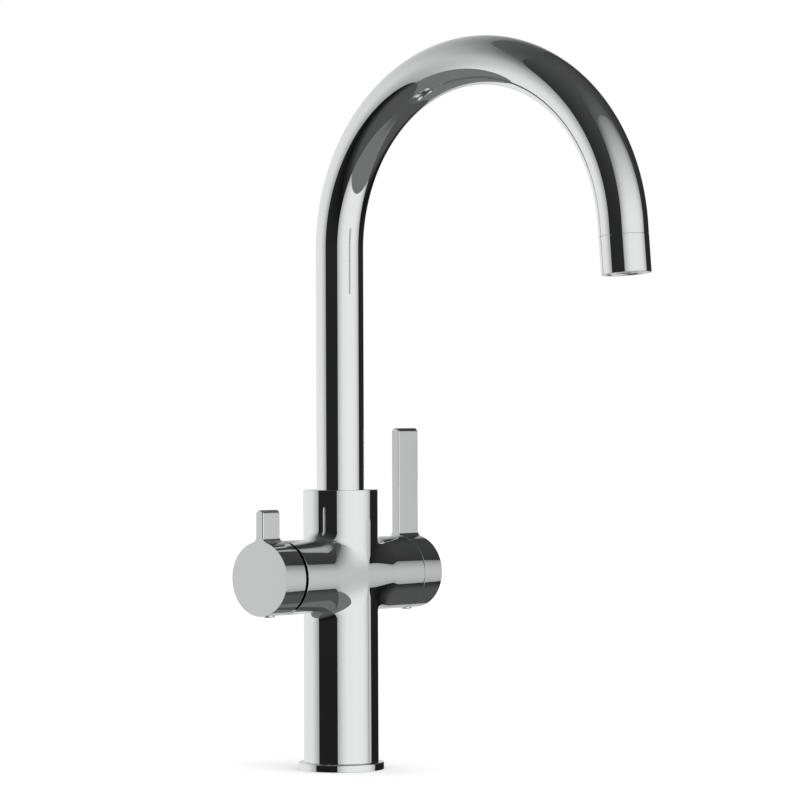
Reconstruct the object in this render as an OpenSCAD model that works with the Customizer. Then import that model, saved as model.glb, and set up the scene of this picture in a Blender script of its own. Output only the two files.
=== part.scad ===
// Deck-mounted kitchen tap for boiling, hot and cold water.
// A round column carries a cross barrel. The short lever on the left is pushed in and
// turned for boiling water, the long lever on the right turns for mixed water, and the
// gooseneck spout swivels on the column.
//
// Millimetres. Z is up, and z = 0 is the worktop under the base flange. The barrel lies
// along X, with the boiling lever at -X. The spout reaches out along -Y.
// Threads are drawn as plain cylinders at their fitting size.

/* [Base] */
// Width of the base flange
flange_d = 45.7; // [43:0.1:60]
// Thickness of the base flange
flange_h = 3.9; // [3.2:0.1:6]
// Rounding of the flange's top edge
flange_edge = 0.6; // [0.2:0.1:1.5]
// Depth of the gasket's groove under the flange
gasket_h = 1.8; // [1:0.1:2.2]
// Width of the gasket ring
gasket_w = 3; // [2:0.1:3.6]
// Circle at the middle of the gasket ring
gasket_circle_d = 37.7; // [37:0.1:38]
// Width of the manifold's neck, which passes through the flange
neck_d = 28; // [27:0.1:30]
// Height of the manifold block above the flange
manifold_h = 20; // [16:0.5:30]
// Height of the manifold's shoulder above the flange
shoulder_rise = 0.5; // [0.3:0.1:1]
// Circle on which the hose ports and the stud socket lie
port_circle_d = 18.6; // [18:0.1:18.8]
// Width of a hose port at its thread, M10 fine
port_d = 9; // [8:0.1:9.4]
// Depth of a hose port's thread
port_l = 9; // [7:0.5:12]
// Width of the socket for the M8 fixing stud
stud_d = 6.8; // [5:0.1:7]
// Depth of the socket for the fixing stud
stud_l = 12; // [8:0.5:14]

/* [Body] */
// Width of the column
body_d = 40; // [39.5:0.1:42]
// Height of the column's flat top above the worktop
body_top = 149.2; // [146:0.2:170]
// Width of the chamber inside the column's foot
chamber_d = 32.6; // [31.6:0.1:34]
// Height of the chamber's ceiling above the worktop
chamber_top = 64; // [45:1:70]
// Width of the three supply pipes in the column
riser_d = 8; // [7:0.1:8.4]
// Wall of a supply pipe
riser_wall = 1; // [0.6:0.1:1.5]
// Depth to which a supply pipe enters the block at each end
riser_seat = 5; // [3:0.5:6]

/* [Barrel] */
// Width of the barrel and of both handle caps
barrel_d = 39.34; // [38:0.02:39.8]
// Height of the barrel's axis above the worktop
barrel_z = 103.6; // [98:0.2:104.6]
// Distance from the column's axis to the barrel's left end
barrel_left = 46.9; // [45:0.1:60]
// Distance from the column's axis to the barrel's right end
barrel_right = 46.45; // [45:0.05:60]
// Width of the bore at each end of the barrel
mouth_d = 31; // [30:0.1:33]

/* [Handles] */
// Distance that the boiling handle is pushed in
push_travel = 1.8; // [0.8:0.1:2.5]
// Gap that is left behind the boiling handle when it is pushed in
push_stop_gap = 0.2; // [0.2:0.05:1]
// Seam between the barrel and the mixer handle
seam = 0.3; // [0.2:0.05:1]
// Length of the boiling handle's cap
boil_cap_l = 14.7; // [14.2:0.1:20]
// Length of the mixer handle's cap
mixer_cap_l = 13.95; // [13.8:0.05:20]
// Thickness of both lever blades
blade_t = 5.3; // [4.4:0.1:8]
// Rounding of a blade's top corners
blade_corner = 2; // [0.5:0.1:2.1]
// Radius of the neck where a blade flares into its cap
neck_fillet = 2.5; // [1:0.1:5]
// Height of the boiling lever's blade above the cap
boil_blade_h = 16.4; // [10:0.2:40]
// Depth of the boiling lever's blade along the barrel
boil_blade_w = 13.1; // [8:0.1:14]
// Height of the mixer lever's blade above the cap
mixer_blade_h = 58.4; // [30:0.2:90]
// Depth of the mixer lever's blade along the barrel
mixer_blade_w = 16; // [14.5:0.1:18]
// Gap under the end of the mixer's blade that overhangs the barrel
overhang_gap = 0.3; // [0.2:0.05:0.6]
// Thickness of a cap's end wall
end_wall = 2.4; // [1.8:0.1:2.8]
// Thickness of a cap's skirt around its mouth
skirt = 3.87; // [3.6:0.01:4.5]
// Depth of the recess in a cap's mouth
recess_l = 4; // [3:0.1:4.1]
// Largest angle to which the two levers turn forwards
lever_turn = 90; // [60:5:100]

/* [Handle fixings] */
// Distance of the fixing screw from a handle's end face
grub_from_end = 7.3; // [7:0.1:7.5]
// Width of a handle's fixing screw, M4
grub_d = 4; // [3:0.1:4.2]
// Length of a handle's fixing screw
grub_l = 7; // [5:0.5:8]
// Size across the corners of the fixing screw's key socket
grub_key_d = 2.3; // [1.5:0.1:2.8]
// Depth of the fixing screw's key socket
grub_key_l = 2; // [1:0.5:3]
// Width of the plug that covers the fixing screw
plug_d = 5.9; // [5:0.1:6.6]
// Depth of the plug's hole under a cap
plug_seat = 3; // [2:0.1:3.2]
// Height by which the plug stands proud of the cap
plug_proud = 0.8; // [0.2:0.1:1.5]
// Width of the splined adapter in each cap
adapter_d = 14; // [13:0.1:15]
// Distance from a cap's mouth back to its adapter
adapter_inset = 1.3; // [1:0.1:1.8]
// Width of the valve spindles
spindle_d = 8; // [7:0.1:8.2]
// Distance across the two flats on a spindle's end
spindle_flats = 6.4; // [5:0.1:6.8]
// Length of those flats
flats_l = 9; // [8.6:0.1:9.4]
// Width of a spindle's end screw
end_screw_d = 2.4; // [2:0.1:3]
// Length of a spindle's end screw under its head
end_screw_l = 6; // [4:0.5:7]
// Size across the corners of the end screw's key socket
end_key_d = 3.2; // [2:0.1:4]
// Depth of the end screw's key socket
end_key_l = 1; // [0.6:0.1:1]
// Width of the head of a spindle's end screw
head_d = 9.4; // [9:0.1:10]
// Thickness of the head of a spindle's end screw
head_h = 1.6; // [1.2:0.1:2]
// Depth to which the adapter stands around that head
head_sink = 0.8; // [0.4:0.1:1]
// Room between that head and the cap's end wall when the handle is pushed in
head_clear = 0.6; // [0.4:0.1:0.8]

/* [Boiling valve] */
// Depth of the barrel's left mouth
boil_mouth_l = 11; // [10:0.1:12]
// Depth at which the lock ring sits below the barrel's end
lock_inset = 0.5; // [0.3:0.1:1]
// Distance between the lock pin's tip and the lock ring at rest
lock_pin_gap = 0.2; // [0.1:0.05:0.4]
// Depth of the lock pin's hole in the cap
lock_pin_seat = 2.9; // [2:0.1:6]
// Direction of the lock pin around the barrel
lock_dir = 135; // [120:5:150]
// Circle on which the lock pin turns
lock_circle_d = 25; // [24:0.1:25.6]
// Width of the lock pin
lock_pin_d = 2.5; // [1.5:0.1:3]
// Depth of the lock ring's curved pocket
lock_pocket = 3.4; // [3:0.1:4]
// Angle by which the pocket is longer than the pin's turn, at each end
lock_slack = 9; // [7:1:15]
// Gap between the lock pin and the sides of its pocket
lock_play = 0.35; // [0.2:0.05:0.5]
// Bore of the lock ring
lock_bore_d = 15.2; // [14.6:0.1:17]
// Size across the corners of the headwork's hexagon
hex_d = 25.4; // [22:0.1:28]
// Thickness of the headwork's hexagon
hex_h = 5; // [4:0.1:6]
// Width of the headwork's threaded shank
shank_d = 20.8; // [19.6:0.1:21.4]
// Length of the headwork's threaded shank
shank_l = 16; // [15.6:0.1:17]
// Width of the headwork's two side windows
boil_window_d = 4.4; // [3:0.1:5]
// Distance of the windows from the shank's end
boil_window_back = 8.4; // [8:0.1:10]
// Depth of the ring-shaped way around the windows
gather_depth = 3.8; // [3.4:0.1:4]
// Width of the boiling valve's ceramic discs
boil_disc_d = 15; // [14:0.1:15.6]
// Thickness of the fixed boiling disc
boil_fixed_t = 3.5; // [2.5:0.1:4]
// Thickness of the turning boiling disc
boil_moving_t = 3; // [2:0.1:3.5]
// Width of the openings through the boiling discs
boil_port_d = 4.5; // [3:0.1:4.8]
// Distance of these openings from the valve's axis
boil_port_at = 4.1; // [3:0.1:4.5]
// Thickness of the seal behind the boiling valve
boil_seal_t = 2.5; // [1.5:0.1:3]
// Width of that seal
boil_seal_d = 18; // [16:0.1:20]
// Bore of that seal
boil_seal_bore_d = 9.2; // [8:0.1:11]
// Distance from the hexagon back to the groove of the spindle's seal
boil_groove_back = 1.2; // [0.8:0.1:2]
// Thickness of the driver on each spindle
driver_t = 3; // [2:0.1:3.5]
// Coil width of the return spring, at the middle of its wire
spring_d = 11.6; // [11:0.1:12]
// Thickness of the return spring's wire
spring_wire = 1.2; // [0.8:0.1:1.4]
// Number of curls in the return spring
spring_curls = 4; // [3:1:4]

/* [Mixer cartridge] */
// Width of the cartridge housing
cartridge_d = 25; // [24:0.1:26]
// Distance from the column's axis to the cartridge's floor
cartridge_floor = 17.4; // [16.6:0.1:18.5]
// Wall of the cartridge housing
cartridge_wall = 1.5; // [1:0.1:2]
// Depth at which the retaining nut sits below the barrel's end
nut_inset = 0.5; // [0.3:0.1:1]
// Thickness of the retaining nut
nut_h = 6; // [4:0.1:7]
// Bore of the retaining nut
nut_bore_d = 13; // [10:0.1:16]
// Width of the nut's four spanner slots
nut_slot_w = 4; // [2:0.1:5]
// Depth of the nut's four spanner slots
nut_slot_h = 2.5; // [1:0.1:3]
// Thickness of the cartridge's base seal
mixer_seal_t = 1.5; // [1:0.1:2]
// Thickness of each mixer disc
mixer_disc_t = 4; // [3:0.1:4.5]
// Distance of the cartridge's ports from its axis
mixer_port_at = 6.5; // [6:0.1:7]
// Width of the cartridge's ports
mixer_port_d = 4.6; // [3:0.1:5]
// Distance from the housing's roof to the groove of the spindle's seal
mixer_groove_in = 3; // [2:0.1:4]

/* [Spout] */
// Width of the spout's tube
tube_d = 25.42; // [24.6:0.02:26.4]
// Wall of the spout's tube
tube_wall = 1.2; // [0.8:0.05:1.3]
// Radius of the spout's arch, at the middle of the tube
arch_r = 95.4; // [70:0.2:120]
// Height of the arch's centre above the worktop
arch_z = 277.2; // [220:0.2:330]
// Angle through which the tube bends over the arch
arch_sweep = 175.3; // [160:0.1:180]
// Length of the straight end after the arch
tail_l = 25.7; // [25.4:0.1:60]
// Width of the joint line where this straight end meets the arch
joint_line = 0.02; // [0.02:0.01:0.1]
// Angle to which the spout swivels each way
swivel = 90; // [30:5:120]
// Depth of the socket that holds the spout in the column
socket_l = 23; // [22.4:0.1:24]
// Thickness of the glide ring at the socket's floor
glide_t = 1; // [0.5:0.1:1.5]
// Inner width of the glide ring
glide_bore_d = 20.5; // [20:0.1:22]
// Bore of the spigot at the spout's foot
spigot_bore_d = 16; // [14:0.1:17]
// Depth of the wider bore at the spigot's foot
spigot_counter = 0.8; // [0.5:0.1:1.5]
// Length of the spigot that enters the tube
spigot_neck_l = 7; // [4:0.5:12]
// Width of the screw that keeps the spout in its socket, M5
keeper_d = 5; // [4:0.1:6]
// Width of that screw's dog point
keeper_tip_d = 3.2; // [2:0.1:3.4]
// Depth of the groove for the dog point
keeper_groove_l = 1.8; // [1.2:0.1:2.2]
// Depth at which the keeper screw sits below the column's surface
keeper_sunk = 0.7; // [0.3:0.1:1.5]
// Size across the corners of the keeper screw's key socket
keeper_key_d = 2.8; // [2:0.1:3.4]
// Depth of the keeper screw's key socket
keeper_key_l = 2.5; // [1.5:0.1:3]
// Distance from the spigot's foot to its lower sealing ring
low_ring_up = 2.8; // [2:0.1:3.4]
// Distance from the tube's foot to the upper sealing ring
high_ring_down = 3.4; // [3:0.1:4.4]
// Width of the inner tube that carries the boiling water
inner_tube_d = 8; // [7:0.1:8.4]
// Wall of the inner tube
inner_tube_wall = 1.2; // [0.8:0.1:1.6]
// Depth at which the tube's foot sits in the socket
tube_sunk = 3.2; // [2.6:0.1:3.6]
// Depth to which the inner tube enters the column below the socket
inner_tube_in = 7.4; // [7:0.1:8]
// Height of its sealing ring's groove above the inner tube's foot
inner_groove_up = 2; // [1.5:0.1:2.6]
// Wall of the clips that keep the inner tube in the middle
clip_wall = 1.3; // [0.8:0.1:1.8]
// Width of an arm of a clip
clip_arm = 2; // [1.2:0.1:3]
// Height of a clip
clip_h = 3; // [2:0.1:4]

/* [Outlet] */
// Length of the outlet's collar
collar_l = 19.3; // [19:0.1:24]
// Seam between the tube and the outlet's collar
collar_seam = 0.15; // [0.1:0.05:0.5]
// Thickness of the collar's lip under the flow insert
lip_h = 0.8; // [0.6:0.1:1.5]
// Width of the hole in the collar's lip
lip_bore_d = 19.6; // [18:0.1:20]
// Width of the flow insert
insert_d = 20.9; // [20.4:0.1:21.2]
// Length of the flow insert
insert_l = 9.8; // [8:0.1:10]
// Wall around the flow insert above its plate
insert_wall = 0.85; // [0.6:0.05:1]
// Radius of the inner ring of holes, and the number of these holes
inner_row_r = 6.7; // [6.6:0.1:6.9]
inner_row = 16; // [8:1:18]
// Radius of the outer ring of holes, and the number of these holes
outer_row_r = 8.5; // [8.4:0.1:8.7]
outer_row = 22; // [10:1:24]
// Thickness of the flow insert's perforated plate
insert_plate = 4; // [2:0.1:6]
// Width of the flow insert's holes
insert_hole_d = 1.5; // [0.8:0.1:1.7]
// Width of the boiling nozzle
nozzle_d = 10; // [9.8:0.1:10.6]
// Bore of the boiling nozzle at its tip
nozzle_bore_d = 5.2; // [3:0.1:6]
// Height of the boiling nozzle's top above the outlet's end
nozzle_l = 15.7; // [14:0.1:16]
// Height of the nozzle's tip above the outlet's end
nozzle_tip = 0.3; // [0.1:0.1:1]
// Depth of the nozzle's socket for the inner tube
nozzle_socket = 5; // [4:0.1:6]
// Length of the bush that joins the tube and the collar
bush_l = 14.6; // [13:0.1:14.8]
// Wall of that bush
bush_wall = 1.75; // [1.5:0.05:2.2]
// Section of the sealing ring between the bush and the collar
outlet_ring_d = 1.2; // [0.8:0.1:1.3]
// Height of that ring above the bush's foot
outlet_ring_up = 2.2; // [1.5:0.1:3]

/* [Fits] */
// Radial gap between pieces that are screwed or pushed together
fit_gap = 0.05; // [0.03:0.01:0.1]
// Radial running gap of the spindles and the inner tube
run_gap = 0.05; // [0.03:0.01:0.09]
// Radial running gap of the spout in its socket
socket_gap = 0.08; // [0.05:0.01:0.1]
// Gap between flat faces that turn on each other
face_gap = 0.05; // [0.02:0.01:0.15]
// Gap between the end of a piece and the floor of its hole
end_gap = 0.1; // [0.1:0.05:0.2]
// Radial gap around pieces that turn in a wide bore
wide_gap = 0.3; // [0.2:0.05:0.4]
// Room along the axis for the drivers on the spindles
driver_play = 0.2; // [0.1:0.05:0.3]
// Section of the small sealing rings
ring_d = 1.7; // [1.4:0.1:1.8]
// Width by which a small sealing ring's groove is wider than the ring
groove_play = 0.5; // [0.3:0.1:0.6]
// Section of the sealing rings on the spout's spigot
spigot_ring_d = 1.64; // [1.4:0.02:1.66]
// Width by which their grooves are wider than these rings
spigot_groove_play = 0.7; // [0.4:0.1:0.8]

/* [Hidden] */
$fn = 96;

body_r = body_d / 2;
barrel_r = barrel_d / 2;
mouth_r = mouth_d / 2;
tube_r = tube_d / 2;
tube_bore_r = tube_r - tube_wall;
inner_tube_r = inner_tube_d / 2;
inner_tube_bore_r = inner_tube_r - inner_tube_wall;

// Base: a shoulder of the manifold stands over the flange, and the ports start below it
shoulder_z = flange_h + shoulder_rise;
manifold_top = flange_h + manifold_h;
manifold_r = chamber_d / 2 - fit_gap;
riser_r = riser_d / 2;
riser_bore_r = riser_r - riser_wall;
gasket_lift = 0.1;
gasket_r = gasket_circle_d / 2;

// Directions of the ports around the column: boiling, cold and hot water, and the stud
boil_port_dir = 180;
cold_port_dir = 90;
hot_port_dir = -20;
stud_dir = -100;

// Barrel and handles along X
left_face = -barrel_left;
right_face = barrel_right;
boil_mouth_x = left_face - push_travel - push_stop_gap;
boil_end_x = boil_mouth_x - boil_cap_l;
mixer_mouth_x = right_face + seam;
mixer_end_x = mixer_mouth_x + mixer_cap_l;

// Inside a handle, as distances from its end face
head_out = end_wall + push_travel + head_clear;
spindle_end = head_out + head_h;
adapter_out = head_out - head_sink;
adapter_r = adapter_d / 2;
spindle_r = spindle_d / 2;
end_screw_r = end_screw_d / 2;
end_hole_l = end_screw_l + 1;

// Boiling valve along X
hex_x = left_face + boil_mouth_l;
lock_x = left_face + lock_inset;
shank_end_x = hex_x + shank_l;
seat_x = shank_end_x + boil_seal_t;
boil_disc_x = shank_end_x - boil_fixed_t;
boil_turning_x = boil_disc_x - face_gap - boil_moving_t;
boil_driver_x = boil_turning_x - driver_t;
shank_r = shank_d / 2;
boil_disc_r = boil_disc_d / 2;
gather_r = shank_r + gather_depth;
window_x = shank_end_x - boil_window_back;
window_r = boil_window_d / 2;
boil_groove_x = hex_x - boil_groove_back;

// Mixer cartridge along X
nut_x = right_face - nut_inset - nut_h;
cartridge_r = cartridge_d / 2;
cartridge_bore_r = cartridge_r - cartridge_wall;
mixer_disc_x = cartridge_floor + mixer_seal_t;
mixer_turning_x = mixer_disc_x + mixer_disc_t + face_gap;
mixer_driver_x = mixer_turning_x + mixer_disc_t;
mixer_roof_x = mixer_driver_x + driver_t + driver_play;
mixer_groove_x = mixer_roof_x + mixer_groove_in;
mixer_port_dirs = [90, 210, 330];

// Sealing rings around a spindle or the inner tube: middle of the section and groove
ring_r = ring_d / 2;
groove_w = ring_d + groove_play;
ring_slack = 0.03;

// Spout and its socket
socket_r = tube_r + socket_gap;
socket_floor = body_top - socket_l;
spigot_foot = socket_floor + glide_t + face_gap;
tube_foot = body_top - tube_sunk;
keeper_z = (spigot_foot + tube_foot) / 2;
keeper_r = keeper_d / 2;
keeper_tip_r = keeper_tip_d / 2;
keeper_groove_r = tube_r - keeper_groove_l;
keeper_slack = 0.3;
spigot_ring_r = spigot_ring_d / 2;
spigot_slack = ring_slack + run_gap;
spigot_groove_w = spigot_ring_d + spigot_groove_play;
spigot_ring_z = [spigot_foot + low_ring_up, tube_foot - high_ring_down];

// Bush and sealing ring in the outlet, as heights above its end
bush_r = tube_bore_r - fit_gap;
bush_bore_r = bush_r - bush_wall;
bush_foot = lip_h + insert_l + end_gap;
outlet_ring_r = outlet_ring_d / 2;
outlet_ring_at = bush_foot + outlet_ring_up;
outlet_groove_w = outlet_ring_d + 0.6;
inner_tube_end = nozzle_l - nozzle_socket + wide_gap;

// Water ways in the column
inner_foot = socket_floor - inner_tube_in;
inner_groove_z = inner_foot + inner_groove_up;
well_r = 1.6;
well_z = barrel_z + gather_r - well_r - wide_gap;
mixed_r = 2;
mixed_x = glide_bore_d / 2 - mixed_r - fit_gap;
feed_z = barrel_z + mixer_port_at * sin(210);
mixer_port_r = mixer_port_d / 2;

// The lock pin starts in the cap and ends just outside its pocket
lock_pin_x = boil_mouth_x - recess_l - lock_pin_seat;
lock_pin_end = lock_x - lock_pin_gap;
lock_pin_at = [lock_circle_d / 2 * cos(lock_dir), lock_circle_d / 2 * sin(lock_dir)];

// ---- Shapes that repeat ----

// A rod along the barrel's axis, between two places on X
module rod_x(r, x0, x1) {
    translate([x0, 0, barrel_z])
        rotate([0, 90, 0])
            cylinder(r = r, h = x1 - x0);
}

// A ring along the barrel's axis
module ring_x(r, bore, x0, x1) {
    difference() {
        rod_x(r, x0, x1);
        rod_x(bore, x0 - 1, x1 + 1);
    }
}

// An upright rod at a place on the deck
module rod_z(r, z0, z1, at = [0, 0]) {
    translate([at[0], at[1], z0])
        cylinder(r = r, h = z1 - z0);
}

// An upright ring around the column's axis
module ring_z(r, bore, z0, z1) {
    difference() {
        rod_z(r, z0, z1);
        rod_z(bore, z0 - 1, z1 + 1);
    }
}

// A sealing ring of round section around the Z axis
module sealing_ring(middle, section) {
    rotate_extrude()
        translate([middle, 0])
            circle(r = section, $fn = 32);
}

// A drawing in the plane across the barrel, drawn out along X
module along_barrel(x0, length) {
    translate([x0, 0, barrel_z])
        rotate([90, 0, 90])
            linear_extrude(height = length)
                children();
}

// The place of a port or the stud under the column
function port_at(dir) = [port_circle_d / 2 * cos(dir), port_circle_d / 2 * sin(dir)];

// ---- Base ----

module base_gasket() {
    color("dimgray")
        ring_z(gasket_r + gasket_w / 2 - fit_gap, gasket_r - gasket_w / 2 + fit_gap,
               gasket_lift, gasket_h);
}

module base_flange() {
    color("silver")
        difference() {
            rotate_extrude()
                difference() {
                    square([flange_d / 2, flange_h]);
                    translate([flange_d / 2 - flange_edge, flange_h - flange_edge])
                        difference() {
                            square(flange_edge + 1);
                            circle(r = flange_edge, $fn = 32);
                        }
                }
            rod_z(neck_d / 2 + fit_gap, -1, flange_h + 1);
            translate([0, 0, -1])
                ring_z(gasket_r + gasket_w / 2, gasket_r - gasket_w / 2, 0, gasket_h + 1);
        }
}

module base_manifold() {
    color("peru")
        difference() {
            union() {
                rod_z(neck_d / 2, 0, shoulder_z);
                rod_z(manifold_r, shoulder_z, manifold_top);
            }
            for (dir = [boil_port_dir, cold_port_dir, hot_port_dir]) {
                rod_z(port_d / 2, -1, port_l, port_at(dir));
                rod_z(riser_bore_r, port_l - 1, manifold_top, port_at(dir));
                rod_z(riser_r + fit_gap, manifold_top - riser_seat, manifold_top + 1,
                      port_at(dir));
            }
            rod_z(stud_d / 2, -1, stud_l, port_at(stud_dir));
        }
}

// A supply pipe between the manifold and the column's solid part
module riser(dir) {
    color("peru")
        difference() {
            rod_z(riser_r, manifold_top - riser_seat, chamber_top + riser_seat, port_at(dir));
            rod_z(riser_bore_r, manifold_top - riser_seat - 1, chamber_top + riser_seat + 1,
                  port_at(dir));
        }
}

module riser_boiling() {
    riser(boil_port_dir);
}

module riser_cold() {
    riser(cold_port_dir);
}

module riser_hot() {
    riser(hot_port_dir);
}

// ---- Column and barrel ----

// Chambers that hold the other pieces
module body_chambers() {
    rod_z(chamber_d / 2, flange_h - 1, chamber_top);
    rod_z(socket_r, socket_floor, body_top + 1);
    rod_x(mouth_r, left_face - 1, hex_x);
    rod_x(shank_r + fit_gap, hex_x - 1, seat_x);
    rod_x(gather_r, window_x - window_r - 1, window_x + window_r + 1);
    rod_x(mouth_r, nut_x, right_face + 1);
    rod_x(cartridge_r + fit_gap, cartridge_floor, nut_x + 1);
    translate([0, body_r + 1, keeper_z])
        rotate([90, 0, 0])
            cylinder(r = keeper_r + fit_gap, h = body_r + 1 - socket_r + 1);
}

// Ways for the three waters, drilled between the chambers
module body_water_ways() {
    for (dir = [boil_port_dir, cold_port_dir, hot_port_dir])
        rod_z(riser_r + fit_gap, chamber_top - 1, chamber_top + riser_seat, port_at(dir));
    rod_z(riser_bore_r, chamber_top, barrel_z, port_at(boil_port_dir));
    rod_x(riser_bore_r, seat_x - 1, port_at(boil_port_dir)[0]);
    rod_z(riser_bore_r, chamber_top, feed_z, port_at(cold_port_dir));
    rod_z(riser_bore_r, chamber_top, feed_z, port_at(hot_port_dir));
    for (side = [-1, 1])
        translate([0, side * mixer_port_at * cos(30), feed_z - barrel_z])
            rod_x(mixer_port_r, side > 0 ? 0 : port_at(hot_port_dir)[0], cartridge_floor + 1);
    translate([0, 0, mixer_port_at])
        rod_x(mixed_r, mixed_x, cartridge_floor + 1);
    rod_z(mixed_r, barrel_z + mixer_port_at, socket_floor + 1, [mixed_x, 0]);
    translate([0, 0, well_z - barrel_z])
        rod_x(well_r, window_x, 0);
    rod_z(inner_tube_bore_r, well_z, inner_foot);
    rod_z(inner_tube_r + run_gap, inner_foot - wide_gap, socket_floor + 1);
    rod_z(inner_tube_r + run_gap + ring_d + ring_slack, inner_groove_z,
          inner_groove_z + groove_w);
}

module body() {
    color("gainsboro")
        difference() {
            union() {
                rod_z(body_r, flange_h, body_top);
                rod_x(barrel_r, left_face, right_face);
            }
            body_chambers();
            body_water_ways();
        }
}

// ---- Spout socket ----

module spout_glide_ring() {
    color("white")
        ring_z(socket_r - fit_gap, glide_bore_d / 2, socket_floor, socket_floor + glide_t);
}

module spout_keeper_screw() {
    color("silver")
        translate([0, 0, keeper_z])
            rotate([-90, 0, 0])
                difference() {
                    union() {
                        translate([0, 0, socket_r + keeper_slack])
                            cylinder(r = keeper_r,
                                     h = body_r - keeper_sunk - socket_r - keeper_slack);
                        translate([0, 0, keeper_groove_r + keeper_slack])
                            cylinder(r = keeper_tip_r, h = socket_r + 1 - keeper_groove_r);
                    }
                    key_socket(keeper_key_d, body_r - keeper_sunk - keeper_key_l,
                               keeper_key_l + 1);
                }
}

// The groove that the keeper's tip runs in, as long as the swivel
module keeper_groove() {
    slack = asin((keeper_tip_r + keeper_slack) / keeper_groove_r);
    rotate([0, 0, 90 - swivel - slack])
        rotate_extrude(angle = 2 * (swivel + slack))
            translate([keeper_groove_r, keeper_z - keeper_tip_r - keeper_slack])
                square([tube_r, 2 * (keeper_tip_r + keeper_slack)]);
}

module spout_spigot() {
    color("peru")
        difference() {
            union() {
                rod_z(tube_r, spigot_foot, tube_foot);
                rod_z(tube_bore_r - fit_gap, tube_foot, tube_foot + spigot_neck_l);
            }
            rod_z(spigot_bore_d / 2, spigot_foot - 1, tube_foot + spigot_neck_l + 1);
            rod_z(glide_bore_d / 2, spigot_foot - 1, spigot_foot + spigot_counter);
            for (z = spigot_ring_z)
                ring_z(tube_r + 1, socket_r - spigot_ring_d - 2 * spigot_slack,
                       z - spigot_groove_w / 2, z + spigot_groove_w / 2);
            keeper_groove();
        }
}

module spigot_sealing_rings() {
    color("dimgray")
        for (z = spigot_ring_z)
            translate([0, 0, z])
                sealing_ring(socket_r - spigot_ring_r - spigot_slack, spigot_ring_r);
}

// ---- Spout ----

// The middle of the outlet's straight end, seen from the outlet: children stand with their
// foot on the outlet's end plane and rise along the tube
module at_outlet() {
    translate([0, -arch_r, arch_z])
        rotate([arch_sweep, 0, 0])
            translate([0, arch_r, tail_l])
                rotate([180, 0, 0])
                    children();
}

// A pipe that follows the spout: up the column, over the arch and down to a cut-off
// that lies a given distance above the outlet's end. A tongue in the middle of its wall
// joins the straight end to the arch
module spout_pipe(r, bore, z0, cut) {
    ring_z(r, bore, z0, arch_z);
    translate([0, -arch_r, arch_z])
        rotate([90, 0, 90])
            rotate_extrude(angle = arch_sweep)
                translate([arch_r, 0])
                    difference() {
                        circle(r = r);
                        circle(r = bore);
                    }
    tongue = (r - bore) / 3;
    at_outlet() {
        ring_z(r, bore, cut, tail_l - joint_line);
        ring_z(r - tongue, bore + tongue, tail_l - 1, tail_l + 1);
    }
}

module spout_tube() {
    color("gainsboro")
        spout_pipe(tube_r, tube_bore_r, tube_foot, collar_l);
}

module boiling_tube() {
    color("whitesmoke")
        spout_pipe(inner_tube_r, inner_tube_bore_r, inner_foot, inner_tube_end);
}

module boiling_tube_seal() {
    color("dimgray")
        translate([0, 0, inner_groove_z + groove_w / 2])
            sealing_ring(inner_tube_r + run_gap + ring_r + ring_slack / 2, ring_r);
}

// A three-armed clip that keeps the inner tube in the middle of a bore
module spacer(bore, z0) {
    difference() {
        intersection() {
            union() {
                rod_z(inner_tube_r + clip_wall, z0, z0 + clip_h);
                for (dir = [30, 150, 270])
                    rotate([0, 0, dir])
                        translate([0, -clip_arm / 2, z0])
                            cube([bore, clip_arm, clip_h]);
            }
            rod_z(bore - fit_gap, z0 - 1, z0 + clip_h + 1);
        }
        rod_z(inner_tube_r + fit_gap, z0 - 1, z0 + clip_h + 1);
    }
}

module tube_spacers() {
    color("white") {
        spacer(spigot_bore_d / 2, tube_foot + 1);
        at_outlet()
            spacer(bush_bore_r, collar_l + 1);
    }
}

// ---- Outlet ----

module outlet_bush() {
    color("peru")
        at_outlet()
            difference() {
                ring_z(bush_r, bush_bore_r, bush_foot, bush_foot + bush_l);
                ring_z(bush_r + 1, bush_r - outlet_ring_d - ring_slack,
                       outlet_ring_at - outlet_groove_w / 2,
                       outlet_ring_at + outlet_groove_w / 2);
            }
}

module outlet_sealing_ring() {
    color("dimgray")
        at_outlet()
            translate([0, 0, outlet_ring_at])
                sealing_ring(bush_r - outlet_ring_r, outlet_ring_r);
}

module outlet_collar() {
    color("gainsboro")
        at_outlet()
            difference() {
                rod_z(tube_r, 0, collar_l - collar_seam);
                rod_z(lip_bore_d / 2, -1, collar_l);
                rod_z(insert_d / 2 + fit_gap, lip_h, collar_l);
                rod_z(bush_r + fit_gap, bush_foot - end_gap, collar_l + 1);
            }
}

module outlet_flow_insert() {
    rows = [[inner_row_r, inner_row], [outer_row_r, outer_row]];
    color("white")
        at_outlet()
            difference() {
                rod_z(insert_d / 2, lip_h, lip_h + insert_l);
                rod_z(nozzle_d / 2 + fit_gap, lip_h - 1, lip_h + insert_l + 1);
                rod_z(insert_d / 2 - insert_wall, lip_h + insert_plate, lip_h + insert_l + 1);
                for (row = rows)
                    for (i = [1 : row[1]])
                        rotate([0, 0, i * 360 / row[1]])
                            rod_z(insert_hole_d / 2, lip_h - 1, lip_h + insert_plate + 1,
                                  [row[0], 0]);
            }
}

module boiling_nozzle() {
    color("silver")
        at_outlet()
            difference() {
                rod_z(nozzle_d / 2, nozzle_tip, nozzle_l);
                rod_z(nozzle_bore_d / 2, -1, nozzle_l);
                rod_z(inner_tube_r + fit_gap, nozzle_l - nozzle_socket, nozzle_l + 1);
            }
}

// ---- Pieces that both valves have ----

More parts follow.
